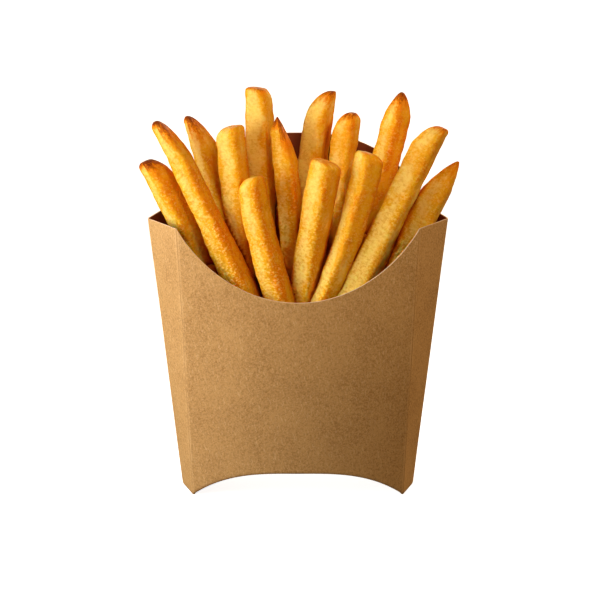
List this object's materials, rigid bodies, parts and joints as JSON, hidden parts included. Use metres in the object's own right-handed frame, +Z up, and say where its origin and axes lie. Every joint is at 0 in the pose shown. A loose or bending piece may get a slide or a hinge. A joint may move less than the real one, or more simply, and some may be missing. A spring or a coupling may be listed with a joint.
{
  "type": "french fries in a carton",
  "caption": "Thick-cut fries standing in a folded kraft board scoop carton with a round scooped front, a raised domed back and a pushed-up bottom.",
  "frame": {"origin": "on the table, under the middle of the whole object", "axes": "+Z up, -Y towards the scooped front of the carton, +X to the right as the front is looked at"},
  "size_m": [0.117, 0.044, 0.1495],
  "materials": {
    "kraft_board": "uncoated, matt, finely speckled",
    "fried_potato": "crisp golden crust with a slight oily sheen"
  },
  "bodies": {
    "root": {"carton": "kraft_board", "fries": "fried_potato"}
  },
  "joints": []
}
